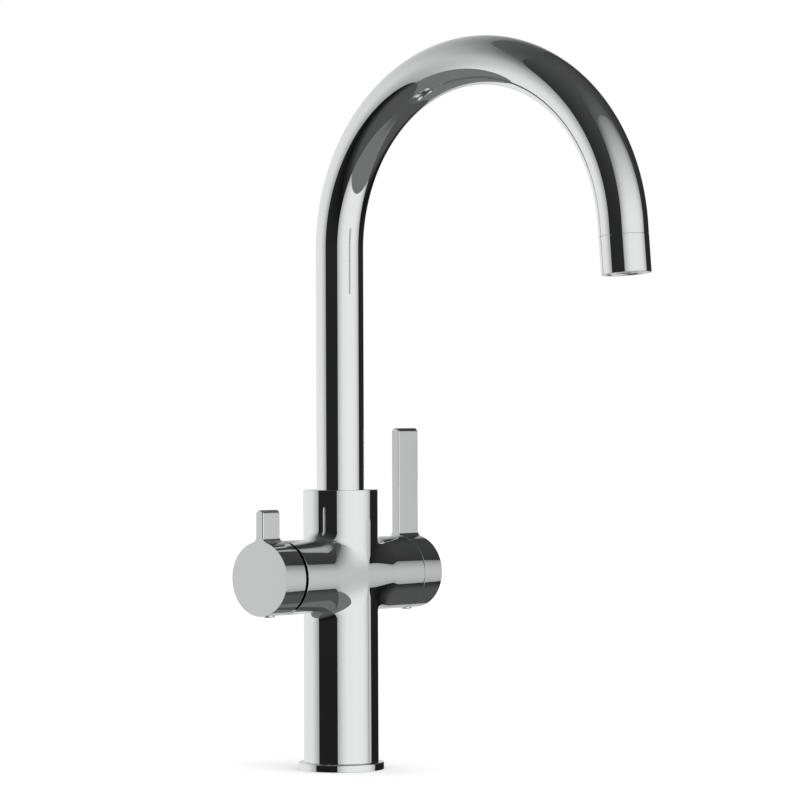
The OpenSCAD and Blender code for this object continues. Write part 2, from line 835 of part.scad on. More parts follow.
// Everything outside the two flats of a spindle's end
module beside_flats(across, x0, x1) {
    for (side = [-1, 1])
        translate([x0, side > 0 ? across / 2 : -across / 2 - spindle_r, barrel_z - spindle_r - 1])
            cube([x1 - x0, spindle_r, spindle_d + 2]);
}

// An adapter slides on a spindle's flats; a pocket in its outer end takes the end screw's head
module adapter(x_out, x_in, pocket_x) {
    low = min(x_out, x_in);
    high = max(x_out, x_in);
    past_end = x_out + sign(x_out - x_in);
    color("peru")
        difference() {
            rod_x(adapter_r, low, high);
            difference() {
                rod_x(spindle_r + run_gap, low - 1, high + 1);
                beside_flats(spindle_flats + 2 * run_gap, low - 1, high + 1);
            }
            rod_x(head_d / 2 + wide_gap, min(pocket_x, past_end), max(pocket_x, past_end));
        }
}

// A socket for a hexagon key in a screw that stands upright
module key_socket(across, z0, depth) {
    translate([0, 0, z0])
        cylinder(r = across / 2, h = depth, $fn = 6);
}

// The screw in a spindle's end, with its head's face at x and its shank turned inwards
module end_screw(x, turned) {
    color("silver")
        translate([x, 0, barrel_z])
            rotate([0, turned, 0])
                difference() {
                    union() {
                        cylinder(r = head_d / 2, h = head_h);
                        cylinder(r = end_screw_r, h = head_h + end_screw_l);
                    }
                    key_socket(end_key_d, -1, end_key_l + 1);
                }
}

// The screw under a cap that clamps the handle to its adapter
module fixing_screw(x) {
    top = barrel_z - adapter_r - fit_gap;
    color("silver")
        translate([x, 0, 0])
            difference() {
                rod_z(grub_d / 2, top - grub_l, top);
                key_socket(grub_key_d, top - grub_l - 1, grub_key_l + 1);
            }
}

// The plug that covers the fixing screw
module screw_plug(x) {
    color("black")
        translate([x, 0, 0])
            rod_z(plug_d / 2, barrel_z - barrel_r - plug_proud,
                  barrel_z - barrel_r + plug_seat - end_gap);
}

// The hole for a fixing screw and its plug
module fixing_hole(x) {
    translate([x, 0, 0]) {
        rod_z(grub_d / 2 + fit_gap, barrel_z - barrel_r - 1, barrel_z);
        rod_z(plug_d / 2 + fit_gap, barrel_z - barrel_r - 1, barrel_z - barrel_r + plug_seat);
    }
}

// A lever blade across the barrel, with the neck that flares into the cap
module blade_outline(height) {
    neck_x = blade_t / 2 + neck_fillet;
    neck_y = sqrt(pow(barrel_r + neck_fillet, 2) - pow(neck_x, 2));
    flare_x = neck_x * barrel_r / (barrel_r + neck_fillet);
    flare_y = neck_y * barrel_r / (barrel_r + neck_fillet);
    top = barrel_r + height;
    corner_at = [blade_t / 2 - blade_corner, top - blade_corner];
    difference() {
        translate([-blade_t / 2, flare_y - 1])
            square([blade_t, top - flare_y + 1]);
        for (side = [0, 1])
            mirror([side, 0])
                translate(corner_at)
                    difference() {
                        square(blade_corner + 1);
                        circle(r = blade_corner);
                    }
    }
    difference() {
        translate([-flare_x, flare_y - 1])
            square([2 * flare_x, neck_y - flare_y + 1]);
        for (side = [-1, 1])
            translate([side * neck_x, neck_y])
                circle(r = neck_fillet);
    }
}

// The fit for an adapter, from a cap's end wall to its mouth
module cap_bore(x_end, x_mouth, dir) {
    floor_x = x_end + dir * end_wall;
    recess_x = x_mouth - dir * recess_l;
    rod_x(adapter_r + fit_gap, min(floor_x, x_mouth), max(floor_x, x_mouth));
    rod_x(barrel_r - skirt, min(recess_x, x_mouth + dir), max(recess_x, x_mouth + dir));
}

// ---- Boiling valve and handle ----

module boil_headwork() {
    cavity_x = boil_driver_x - driver_play;
    color("peru")
        difference() {
            union() {
                translate([hex_x - hex_h, 0, barrel_z])
                    rotate([0, 90, 0])
                        cylinder(r = hex_d / 2, h = hex_h, $fn = 6);
                rod_x(shank_r, hex_x, shank_end_x);
            }
            rod_x(spindle_r + run_gap, hex_x - hex_h - 1, cavity_x + 1);
            rod_x(boil_disc_r + fit_gap, cavity_x, shank_end_x + 1);
            rod_x(spindle_r + run_gap + ring_d + ring_slack, boil_groove_x,
                  boil_groove_x + groove_w);
            translate([window_x, 0, barrel_z - shank_r - 1])
                cylinder(r = window_r, h = shank_d + 2);
        }
}

module boil_seat_seal() {
    color("dimgray")
        ring_x(boil_seal_d / 2, boil_seal_bore_d / 2, shank_end_x, seat_x);
}

// A ceramic disc with two opposite windows; turned by a quarter it covers the other disc's
module boil_disc(x0, x1, r, turned) {
    difference() {
        rod_x(r, x0, x1);
        translate([0, 0, barrel_z])
            rotate([turned, 0, 0])
                for (side = [-1, 1])
                    translate([x0 - 1, side * boil_port_at, 0])
                        rotate([0, 90, 0])
                            cylinder(r = boil_port_d / 2, h = x1 - x0 + 2);
    }
}

module boil_fixed_disc() {
    color("ivory")
        boil_disc(boil_disc_x, shank_end_x, boil_disc_r, 0);
}

module boil_turning_disc() {
    color("ivory")
        boil_disc(boil_turning_x, boil_turning_x + boil_moving_t, boil_disc_r - wide_gap, 90);
}

module boil_spindle() {
    end_x = boil_end_x + spindle_end;
    color("peru")
        difference() {
            union() {
                rod_x(boil_disc_r - wide_gap, boil_driver_x, boil_turning_x);
                rod_x(spindle_r, end_x, boil_driver_x);
            }
            beside_flats(spindle_flats, end_x - 1, end_x + flats_l);
            rod_x(end_screw_r + fit_gap, end_x - 1, end_x + end_hole_l);
        }
}

module boil_spindle_seal() {
    color("dimgray")
        translate([boil_groove_x + groove_w / 2, 0, barrel_z])
            rotate([0, 90, 0])
                sealing_ring(spindle_r + run_gap + ring_r + ring_slack / 2, ring_r);
}

module boil_lock_ring() {
    pocket_r = lock_pin_d / 2 + lock_play;
    color("silver")
        difference() {
            rod_x(mouth_r - fit_gap, lock_x, hex_x - hex_h);
            rod_x(lock_bore_d / 2, lock_x - 1, hex_x);
            translate([lock_x - 1, 0, barrel_z])
                rotate([0, 90, 0])
                    rotate([0, 0, lock_dir + 90 - lock_slack])
                        rotate_extrude(angle = lever_turn + 2 * lock_slack)
                            translate([lock_circle_d / 2 - pocket_r, 0])
                                square([2 * pocket_r, lock_pocket + 1]);
        }
}

module boil_lock_pin() {
    color("silver")
        translate([0, lock_pin_at[0], lock_pin_at[1]])
            rod_x(lock_pin_d / 2, lock_pin_x, lock_pin_end);
}

// The return spring: one round wire wound into curls between the headwork and the adapter
spring_rings = 8 * spring_curls;
spring_sides = 6;
spring_low = boil_mouth_x - adapter_inset + spring_wire / 2 + face_gap;
spring_high = hex_x - hex_h - spring_wire / 2 - face_gap;
spring_pitch = (spring_high - spring_low) / spring_curls;

// A point on the wire's surface: t curls along, and an angle around the wire
function spring_point(t, around) =
    let (reach = spring_d / 2 + spring_wire / 2 * cos(around))
    [
        spring_low + t * spring_pitch + spring_wire / 2 * sin(around),
        reach * cos(360 * t),
        barrel_z + reach * sin(360 * t)
    ];

spring_points = [
    for (i = [0 : spring_rings])
        for (j = [0 : spring_sides - 1])
            spring_point(i / 8, 360 * j / spring_sides)
];

// Number of the point at side j of ring i
function spring_corner(i, j) = i * spring_sides + j % spring_sides;

spring_faces = concat(
    [for (j = [1 : spring_sides - 2])
        [spring_corner(0, 0), spring_corner(0, j + 1), spring_corner(0, j)]],
    [for (j = [1 : spring_sides - 2])
        [spring_corner(spring_rings, 0), spring_corner(spring_rings, j),
         spring_corner(spring_rings, j + 1)]],
    [for (i = [0 : spring_rings - 1])
        for (j = [0 : spring_sides - 1])
            [spring_corner(i, j), spring_corner(i, j + 1), spring_corner(i + 1, j)]],
    [for (i = [0 : spring_rings - 1])
        for (j = [0 : spring_sides - 1])
            [spring_corner(i, j + 1), spring_corner(i + 1, j + 1), spring_corner(i + 1, j)]]
);

// Least distance between the wire's surface points on neighbouring curls
spring_gap = min([
    for (i = [0 : spring_rings - 8])
        for (turn = [max(i + 7, 7) : min(i + 9, spring_rings)])
            for (j = [0 : spring_sides - 1])
                for (k = [0 : spring_sides - 1])
                    norm(spring_points[spring_corner(i, j)]
                         - spring_points[spring_corner(turn, k)])
]);

module boil_return_spring() {
    echo(spring_least_gap = spring_gap);
    color("silver")
        polyhedron(points = spring_points, faces = spring_faces);
}

module boil_adapter() {
    adapter(boil_end_x + adapter_out, boil_mouth_x - adapter_inset,
            boil_end_x + spindle_end + end_gap);
}

module boil_end_screw() {
    end_screw(boil_end_x + head_out, 90);
}

module boil_handle() {
    color("gainsboro")
        difference() {
            union() {
                along_barrel(boil_end_x, boil_blade_w)
                    blade_outline(boil_blade_h);
                rod_x(barrel_r, boil_end_x, boil_mouth_x);
            }
            cap_bore(boil_end_x, boil_mouth_x, 1);
            fixing_hole(boil_end_x + grub_from_end);
            translate([0, lock_pin_at[0], lock_pin_at[1]])
                rod_x(lock_pin_d / 2 + fit_gap, lock_pin_x - end_gap,
                      boil_mouth_x - recess_l + 1);
        }
}

module boil_fixing_screw() {
    fixing_screw(boil_end_x + grub_from_end);
}

module boil_screw_plug() {
    screw_plug(boil_end_x + grub_from_end);
}

// ---- Mixer cartridge and handle ----

// Three ports around the cartridge's axis: mixed water on top, cold and hot below
module mixer_ports(x0, x1) {
    for (dir = mixer_port_dirs)
        translate([0, mixer_port_at * cos(dir), mixer_port_at * sin(dir)])
            rod_x(mixer_port_r, x0 - 1, x1 + 1);
}

module mixer_housing() {
    color("white")
        difference() {
            rod_x(cartridge_r, mixer_disc_x, nut_x);
            rod_x(cartridge_bore_r, mixer_disc_x - 1, mixer_roof_x);
            rod_x(spindle_r + run_gap, mixer_roof_x - 1, nut_x + 1);
            rod_x(spindle_r + run_gap + ring_d + ring_slack, mixer_groove_x,
                  mixer_groove_x + groove_w);
        }
}

module mixer_base_seal() {
    color("dimgray")
        difference() {
            rod_x(cartridge_r - 2 * wide_gap, cartridge_floor, mixer_disc_x);
            mixer_ports(cartridge_floor, mixer_disc_x);
        }
}

module mixer_fixed_disc() {
    color("ivory")
        difference() {
            rod_x(cartridge_bore_r - fit_gap, mixer_disc_x, mixer_disc_x + mixer_disc_t);
            mixer_ports(mixer_disc_x, mixer_disc_x + mixer_disc_t);
        }
}

module mixer_turning_disc() {
    color("ivory")
        difference() {
            rod_x(cartridge_bore_r - wide_gap, mixer_turning_x, mixer_driver_x);
            translate([mixer_turning_x - 1, 0, barrel_z])
                rotate([0, 90, 0])
                    rotate([0, 0, 30])
                        rotate_extrude(angle = 120)
                            translate([mixer_port_at - mixer_port_r, 0])
                                square([mixer_port_d, mixer_disc_t / 2 + 1]);
        }
}

module mixer_spindle() {
    end_x = mixer_end_x - spindle_end;
    color("peru")
        difference() {
            union() {
                rod_x(cartridge_bore_r - wide_gap, mixer_driver_x, mixer_driver_x + driver_t);
                rod_x(spindle_r, mixer_driver_x + driver_t, end_x);
            }
            beside_flats(spindle_flats, end_x - flats_l, end_x + 1);
            rod_x(end_screw_r + fit_gap, end_x - end_hole_l, end_x + 1);
        }
}

module mixer_spindle_seal() {
    color("dimgray")
        translate([mixer_groove_x + groove_w / 2, 0, barrel_z])
            rotate([0, 90, 0])
                sealing_ring(spindle_r + run_gap + ring_r + ring_slack / 2, ring_r);
}

module mixer_retaining_nut() {
    outer_x = nut_x + nut_h;
    color("silver")
        difference() {
            ring_x(mouth_r - fit_gap, nut_bore_d / 2, nut_x, outer_x);
            for (turn = [0, 90])
                translate([outer_x - nut_slot_h, 0, barrel_z])
                    rotate([turn + 45, 0, 0])
                        translate([0, -mouth_r, -nut_slot_w / 2])
                            cube([nut_slot_h + 1, mouth_d, nut_slot_w]);
        }
}

module mixer_adapter() {
    adapter(mixer_end_x - adapter_out, mixer_mouth_x + adapter_inset,
            mixer_end_x - spindle_end - end_gap);
}

module mixer_end_screw() {
    end_screw(mixer_end_x - head_out, -90);
}

module mixer_handle() {
    overhang = mixer_blade_w - mixer_cap_l;
    color("gainsboro")
        difference() {
            union() {
                along_barrel(mixer_mouth_x, mixer_cap_l)
                    blade_outline(mixer_blade_h);
                rod_x(barrel_r, mixer_mouth_x, mixer_end_x);
                along_barrel(mixer_mouth_x - overhang, overhang)
                    difference() {
                        blade_outline(mixer_blade_h);
                        circle(r = barrel_r + overhang_gap);
                    }
            }
            cap_bore(mixer_end_x, mixer_mouth_x, -1);
            fixing_hole(mixer_end_x - grub_from_end);
        }
}

module mixer_fixing_screw() {
    fixing_screw(mixer_end_x - grub_from_end);
}

module mixer_screw_plug() {
    screw_plug(mixer_end_x - grub_from_end);
}

base_gasket();
base_flange();
base_manifold();
riser_boiling();
riser_cold();
riser_hot();
body();
spout_glide_ring();
spout_keeper_screw();
spout_spigot();
spigot_sealing_rings();
spout_tube();
boiling_tube();
boiling_tube_seal();
tube_spacers();
outlet_bush();
outlet_sealing_ring();
outlet_collar();
outlet_flow_insert();
boiling_nozzle();
boil_headwork();
boil_seat_seal();
boil_fixed_disc();
boil_turning_disc();
boil_spindle();
boil_spindle_seal();
boil_lock_ring();
boil_return_spring();
boil_adapter();
boil_end_screw();
boil_lock_pin();
boil_handle();
boil_fixing_screw();
boil_screw_plug();
mixer_housing();
mixer_base_seal();
mixer_fixed_disc();
mixer_turning_disc();
mixer_spindle();
mixer_spindle_seal();
mixer_retaining_nut();
mixer_adapter();
mixer_end_screw();
mixer_handle();
mixer_fixing_screw();
mixer_screw_plug();
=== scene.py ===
import math

import bmesh
import bpy
from mathutils import Matrix, Vector


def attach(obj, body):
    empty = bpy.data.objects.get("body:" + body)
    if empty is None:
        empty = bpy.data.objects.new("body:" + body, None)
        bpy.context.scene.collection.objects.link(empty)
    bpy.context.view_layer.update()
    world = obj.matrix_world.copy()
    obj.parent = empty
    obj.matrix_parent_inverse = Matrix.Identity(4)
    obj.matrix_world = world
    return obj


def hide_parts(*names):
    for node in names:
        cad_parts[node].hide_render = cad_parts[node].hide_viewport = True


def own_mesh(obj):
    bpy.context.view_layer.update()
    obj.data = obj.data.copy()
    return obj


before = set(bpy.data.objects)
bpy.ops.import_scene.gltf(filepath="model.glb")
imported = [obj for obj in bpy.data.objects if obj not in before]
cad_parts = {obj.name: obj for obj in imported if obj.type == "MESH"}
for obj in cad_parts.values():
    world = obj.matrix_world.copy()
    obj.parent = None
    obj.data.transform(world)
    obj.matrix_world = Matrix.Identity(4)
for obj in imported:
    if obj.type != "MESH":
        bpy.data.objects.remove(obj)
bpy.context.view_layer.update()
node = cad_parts
mm = 0.001

# ---- Camera ----
# A long lens stands two metres off, level with the middle of the tap, and sees the left
# lever's end and the barrel from the front. The values come from the photograph's lines.
camera_turn = math.radians(-49.145)
camera_rise = math.radians(-0.123)
camera_roll = math.radians(-0.217)
camera_away = 1992.8 * mm
aimed_at = Vector((math.cos(camera_turn) * 32.04, math.sin(camera_turn) * 32.04, 196.9)) * mm
away = Vector((math.sin(camera_turn) * math.cos(camera_rise),
               -math.cos(camera_turn) * math.cos(camera_rise), math.sin(camera_rise)))
level = Vector((math.cos(camera_turn), math.sin(camera_turn), 0))
upward = away.cross(level)
sideways = level * math.cos(camera_roll) + upward * math.sin(camera_roll)
upright = upward * math.cos(camera_roll) - level * math.sin(camera_roll)
bpy.ops.object.camera_add(location=aimed_at + away * camera_away)
camera = bpy.context.object
camera.name = "camera"
camera.matrix_world = Matrix.LocRotScale(
    aimed_at + away * camera_away, Matrix((sideways, upright, away)).transposed(), None)
camera.data.lens = 167.76
camera.data.sensor_width = 36
camera.data.clip_start = 0.1
bpy.context.scene.camera = camera
bpy.context.scene.view_settings.view_transform = "Standard"

# ---- Studio ----
# Two wide soft panels stand in front of the tap and behind it, with dark gaps at its left
# and right. They fade towards the ceiling and end sharply below, over a darker ground.
chrome_shine = 0.85
ground_edge = -30.5
panel_top = 1.74
ceiling_foot = 1.76
world = bpy.data.worlds.new("studio")
bpy.context.scene.world = world
world.use_nodes = True
world.node_tree.nodes.clear()


def add_node(tree, kind, *inputs, **settings):
    """Adds a shader node. Each input is a number, a colour or another node's output."""
    made = tree.nodes.new(kind)
    for setting, value in settings.items():
        setattr(made, setting, value)
    for place, value in enumerate(inputs):
        if isinstance(value, bpy.types.NodeSocket):
            tree.links.new(value, made.inputs[place])
        elif value is not None:
            made.inputs[place].default_value = value
    return made


def add_curve(tree, value, low, high, stops):
    """A row of grey levels over a value that runs from low to high."""
    scaled = add_node(tree, "ShaderNodeMapRange", value, low, high)
    ramp = add_node(tree, "ShaderNodeValToRGB", scaled.outputs[0])
    row = ramp.color_ramp
    while len(row.elements) < len(stops):
        row.elements.new(0.5)
    for element, (at, grey) in zip(row.elements, stops):
        element.position = (at - low) / (high - low)
        element.color = (grey, grey, grey, 1)
    return ramp.outputs[0]


def seen_in_chrome(tone):
    """The light that chrome shows as a screen tone from 0 to 255."""
    share = tone / 255
    light = ((share + 0.055) / 1.055) ** 2.4 if share > 0.04 else share / 12.92
    return light / chrome_shine


sky = world.node_tree
direction = add_node(sky, "ShaderNodeTexCoord").outputs["Generated"]
split = add_node(sky, "ShaderNodeSeparateXYZ", direction)
around = add_node(sky, "ShaderNodeMath", split.outputs[1], split.outputs[0],
                  operation="ARCTAN2")
around = add_node(sky, "ShaderNodeMath", around.outputs[0], operation="DEGREES").outputs[0]
height = add_node(sky, "ShaderNodeMath", split.outputs[2], operation="ARCSINE")
height = add_node(sky, "ShaderNodeMath", height.outputs[0], operation="DEGREES").outputs[0]
gap_light = add_curve(sky, height, -90, 90, [
    (rise, seen_in_chrome(tone)) for rise, tone in [
        (-90, 80), (-34, 77), (-24, 43), (-15, 16), (-5, 30), (15, 46), (35, 57), (55, 66),
        (80, 73)]])
ground_light = add_curve(sky, height, -90, 0, [
    (rise, seen_in_chrome(tone)) for rise, tone in [
        (-90, 77), (-81, 84), (-75, 99), (-69, 109), (-60, 112)]])


def panel(middle, half_width, across):
    """One upright panel: whether a ray meets its sector, and what it sees there. Its top
    edge is straight, with a pale ceiling over it."""
    away_from_middle = add_node(sky, "ShaderNodeMath", around, middle, operation="SUBTRACT")
    away_from_middle = add_node(sky, "ShaderNodeMath", away_from_middle.outputs[0], 180, -180,
                                operation="WRAP")
    away_from_middle = add_node(sky, "ShaderNodeMath", away_from_middle.outputs[0],
                                operation="ABSOLUTE").outputs[0]
    there = add_node(sky, "ShaderNodeMath", away_from_middle, half_width,
                     operation="LESS_THAN").outputs[0]
    aim = (math.cos(math.radians(middle)), math.sin(math.radians(middle)), 0)
    facing = add_node(sky, "ShaderNodeVectorMath", direction, aim, operation="DOT_PRODUCT")
    raised = add_node(sky, "ShaderNodeMath", split.outputs[2], facing.outputs["Value"],
                      operation="DIVIDE").outputs[0]
    light = add_curve(sky, raised, 0, 6, [
        (rise, seen_in_chrome(tone)) for rise, tone in [
            (0, 230), (0.16, 227), (0.27, 225), (0.38, 219), (0.51, 210), (0.65, 199),
            (0.81, 185), (1, 171), (1.23, 153), (1.54, 131), (panel_top, 119),
            (ceiling_foot, 91), (2.6, 82), (3.7, 77), (6, 73)]])
    share = add_curve(sky, away_from_middle, 0, 90, [
        (half_width - inside, grey) for inside, grey in across])
    over = add_curve(sky, raised, 0, 6, [(panel_top, 0), (ceiling_foot, 0.9)])
    share = add_node(sky, "ShaderNodeMath", share, over, operation="MAXIMUM")
    light = add_node(sky, "ShaderNodeMath", light, share.outputs[0], operation="MULTIPLY")
    return there, light.outputs[0]


reflected = gap_light
sectors = []
for middle, half_width, across in [
        (-92, 57, [(57, 1), (30, 0.97), (17, 0.84), (5.85, 0.62), (2, 0.51), (0, 0.44)]),
        (88.5, 61.5, [(61.5, 0.95), (30, 0.92), (20, 0.82), (10.85, 0.64), (2, 0.48),
                      (0, 0.42)])]:
    there, light = panel(middle, half_width, across)
    sectors.append(there)
    reflected = add_node(sky, "ShaderNodeMix", there, None, reflected, light).outputs[0]
in_sector = add_node(sky, "ShaderNodeMath", *sectors, operation="ADD")
low = add_node(sky, "ShaderNodeMath", height, ground_edge, operation="LESS_THAN")
low = add_node(sky, "ShaderNodeMath", low.outputs[0], in_sector.outputs[0],
               operation="MULTIPLY")
reflected = add_node(sky, "ShaderNodeMix", low.outputs[0], None, reflected, ground_light)
backdrop = add_node(sky, "ShaderNodeLightPath").outputs["Is Camera Ray"]
seen = add_node(sky, "ShaderNodeMix", backdrop, None, reflected.outputs[0], 1.0)
glow = add_node(sky, "ShaderNodeBackground", seen.outputs[0])
add_node(sky, "ShaderNodeOutputWorld", glow.outputs[0])

bpy.ops.object.light_add(type="SUN", rotation=(math.radians(12), math.radians(-8), 0))
softbox = bpy.context.object
softbox.name = "ceiling_light"
softbox.data.energy = 3.4
softbox.data.angle = math.radians(120)
softbox.visible_glossy = False

# ---- Floor ----
# A plain pale studio floor, painted matt. It is large enough that its edge is out of
# sight, and it doesn't show in the chrome.
bpy.ops.object.select_all(action="DESELECT")
bpy.ops.mesh.primitive_plane_add(size=12, location=(0, 0, 0))
floor = bpy.context.object
floor.name = "floor"
floor.visible_glossy = False
pale = bpy.data.materials.new("pale_floor")
pale.use_nodes = True
paint = pale.node_tree.nodes["Principled BSDF"]
spot = add_node(pale.node_tree, "ShaderNodeTexCoord").outputs["Object"]
grain = add_node(pale.node_tree, "ShaderNodeTexNoise", spot)
grain.inputs["Scale"].default_value = 40
tint = add_curve(pale.node_tree, grain.outputs[0], 0, 1, [(0, 0.9), (1, 0.92)])
pale.node_tree.links.new(tint, paint.inputs["Base Color"])
paint.inputs["Roughness"].default_value = 0.9
paint.inputs["Specular IOR Level"].default_value = 0
floor.data.materials.append(pale)

# ---- Base: flange ----
# A turned brass ring, plated with chrome, that the column stands on. Its underside has a
# groove for the gasket, and its top edge is rounded.
flange_r = 22.85
flange_h = 3.9
flange_edge = 0.6
neck_r = 14.05
gasket_out = 20.35
gasket_in = 17.35
gasket_h = 1.8


def add_bump(tree, surface, pattern, height):
    """Lets a pattern raise and sink a surface, up to a height in metres."""
    bump = add_node(tree, "ShaderNodeBump")
    bump.inputs["Strength"].default_value = 1
    bump.inputs["Distance"].default_value = height
    tree.links.new(pattern, bump.inputs["Height"])
    tree.links.new(bump.outputs[0], surface.inputs["Normal"])


def make_finish(name, metallic, dark, light, rough_low, rough_high, grain_size):
    """A material whose colour and roughness vary a little over the surface. It returns the
    material, its shader, the tree and the fine pattern, so that a section can add to it."""
    finish = bpy.data.materials.new(name)
    finish.use_nodes = True
    tree = finish.node_tree
    surface = tree.nodes["Principled BSDF"]
    surface.inputs["Metallic"].default_value = metallic
    place = add_node(tree, "ShaderNodeTexCoord").outputs["Object"]
    broad = add_node(tree, "ShaderNodeTexNoise", place)
    broad.inputs["Scale"].default_value = 0.12 / grain_size
    broad.inputs["Detail"].default_value = 3
    tint = add_node(tree, "ShaderNodeValToRGB", broad.outputs[0])
    tint.color_ramp.elements[0].position = 0.3
    tint.color_ramp.elements[1].position = 0.7
    tint.color_ramp.elements[0].color = (*dark, 1)
    tint.color_ramp.elements[1].color = (*light, 1)
    tree.links.new(tint.outputs[0], surface.inputs["Base Color"])
    fine = add_node(tree, "ShaderNodeTexNoise", place)
    fine.inputs["Scale"].default_value = 1 / grain_size
    fine.inputs["Detail"].default_value = 6
    rough = add_node(tree, "ShaderNodeMapRange", fine.outputs[0], 0.3, 0.7, rough_low,
                     rough_high)
    tree.links.new(rough.outputs[0], surface.inputs["Roughness"])
    return finish, surface, tree, fine.outputs[0]


chrome = make_finish(
    "chrome_plate", 1, (0.832, 0.853, 0.847), (0.842, 0.862, 0.856), 0.02, 0.045, 4 * mm)[0]


def draw_profile(name, points):
    """Starts a piece as a line of points, drawn one after another."""
    bpy.ops.object.select_all(action="DESELECT")
    bpy.ops.mesh.primitive_plane_add(size=mm, location=points[0])
    piece = bpy.context.object
    piece.name = piece.data.name = name
    bpy.ops.object.transform_apply(location=True, rotation=True, scale=True)
    bpy.ops.object.mode_set(mode="EDIT")
    bpy.ops.mesh.select_mode(type="VERT")
    bpy.ops.mesh.merge(type="CENTER")
    for before, after in zip(points, points[1:]):
        bpy.ops.mesh.extrude_region_move(TRANSFORM_OT_translate={"value": after - before})
    return piece


def pick(piece, kind, wanted):
    """Selects the vertices, edges or faces of the piece in edit mode that a test wants."""
    bpy.ops.mesh.select_mode(type=kind)
    bpy.ops.mesh.select_all(action="DESELECT")
    mesh = bmesh.from_edit_mesh(piece.data)
    parts = {"VERT": mesh.verts, "EDGE": mesh.edges, "FACE": mesh.faces}[kind]
    for part in [part for part in parts if wanted(part)]:
        part.select_set(True)
    mesh.select_flush(kind == "VERT")
    bmesh.update_edit_mesh(piece.data)


def close_seams(apart):
    """Merges points that lie closer together than this, and turns all faces outwards."""
    bpy.ops.mesh.select_all(action="SELECT")
    bpy.ops.mesh.remove_doubles(threshold=apart * mm)
    bpy.ops.mesh.normals_make_consistent(inside=False)


def spin_profile(piece, middle, axis, closed):
    """Spins a drawn profile all the way around an axis, as on a lathe, and leaves it whole."""
    if closed:
        pick(piece, "VERT", lambda corner: len(corner.link_edges) == 1)
        bpy.ops.mesh.edge_face_add()
    bpy.ops.mesh.select_all(action="SELECT")
    bpy.ops.mesh.spin(steps=160, angle=math.tau, center=middle, axis=axis)
    close_seams(0.002)
    bpy.ops.object.mode_set(mode="OBJECT")


def take(piece):
    """Selects one piece alone, so that the next step works on nothing else."""
    bpy.ops.object.select_all(action="DESELECT")
    piece.select_set(True)
    bpy.context.view_layer.objects.active = piece


def round_edges(piece, width, sharper_than=30):
    """Rounds the sharp edges of a piece and keeps its large faces true."""
    take(piece)
    bpy.ops.object.shade_smooth_by_angle(angle=math.radians(50))
    if width:
        edges = piece.modifiers.new("edges", "BEVEL")
        edges.width = width
        edges.segments = 3
        edges.limit_method = "ANGLE"
        edges.angle_limit = math.radians(sharper_than)
        bpy.ops.object.modifier_apply(modifier=edges.name)
        bpy.ops.object.shade_smooth_by_angle(angle=math.radians(50))
    true_faces = piece.modifiers.new("true_faces", "WEIGHTED_NORMAL")
    true_faces.keep_sharp = True
    true_faces.weight = 80
    bpy.ops.object.modifier_apply(modifier=true_faces.name)


def finish_piece(piece, material, body, slot, *nodes):
    """Gives a piece its material and its body, and lets it stand for CAD nodes."""
    piece.data.materials.clear()
    piece.data.materials.append(material)
    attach(piece, body)
    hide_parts(*nodes)


flange_profile = [(neck_r, 0), (gasket_in, 0), (gasket_in, gasket_h), (gasket_out, gasket_h),
                  (gasket_out, 0), (flange_r - 0.15, 0), (flange_r, 0.15)]
flange_profile += [(flange_r - flange_edge * (1 - math.cos(math.radians(part))),
                    flange_h - flange_edge * (1 - math.sin(math.radians(part))))
                   for part in range(0, 91, 15)]
flange_profile += [(neck_r, flange_h)]
flange = draw_profile("flange", [Vector((out, 0, up)) * mm for out, up in flange_profile])
spin_profile(flange, (0, 0, 0), (0, 0, 1), closed=True)
round_edges(flange, 0)
finish_piece(flange, chrome, "tap_body", "chrome_plate", "base_flange")

# ---- Base: gasket, manifold and supply pipes ----
# A rubber ring seals the flange on the worktop. A turned brass manifold screws into the
# column's foot, and three copper pipes lead the waters up from it.
rubber, rubber_surface, rubber_tree, rubber_grain = make_finish(
    "seal_rubber", 0, (0.012, 0.012, 0.012), (0.024, 0.024, 0.025), 0.45, 0.7, 0.5 * mm)
rubber_surface.inputs["Specular IOR Level"].default_value = 0.4
add_bump(rubber_tree, rubber_surface, rubber_grain, 0.02 * mm)
brass, brass_surface, brass_tree, _ = make_finish(
    "turned_brass", 1, (0.62, 0.43, 0.17), (0.74, 0.54, 0.24), 0.2, 0.38, 0.8 * mm)


def add_turning_marks(tree, surface, spacing, height, across):
    """Fine rings left by the lathe, as thin bands along one direction of the piece."""
    place = add_node(tree, "ShaderNodeTexCoord").outputs["Object"]
    marks = add_node(tree, "ShaderNodeTexWave", place, wave_type="BANDS",
                     bands_direction=across)
    marks.inputs["Scale"].default_value = 0.314 / spacing
    marks.inputs["Distortion"].default_value = 0.6
    marks.inputs["Detail Scale"].default_value = 2
    add_bump(tree, surface, marks.outputs["Fac"], height)


add_turning_marks(brass_tree, brass_surface, 0.25 * mm, 0.004 * mm, "DIAGONAL")
copper, copper_surface, copper_tree, copper_grain = make_finish(
    "drawn_copper", 1, (0.66, 0.3, 0.18), (0.82, 0.44, 0.3), 0.18, 0.34, 1.5 * mm)
add_bump(copper_tree, copper_surface, copper_grain, 0.004 * mm)


def dress(material, *names):
    """Gives CAD nodes that stay as they are their finished material."""
    for name in names:
        node[name].data.materials.clear()
        node[name].data.materials.append(material)


dress(rubber, "base_gasket")
dress(brass, "base_manifold")
dress(copper, "riser_boiling", "riser_cold", "riser_hot")

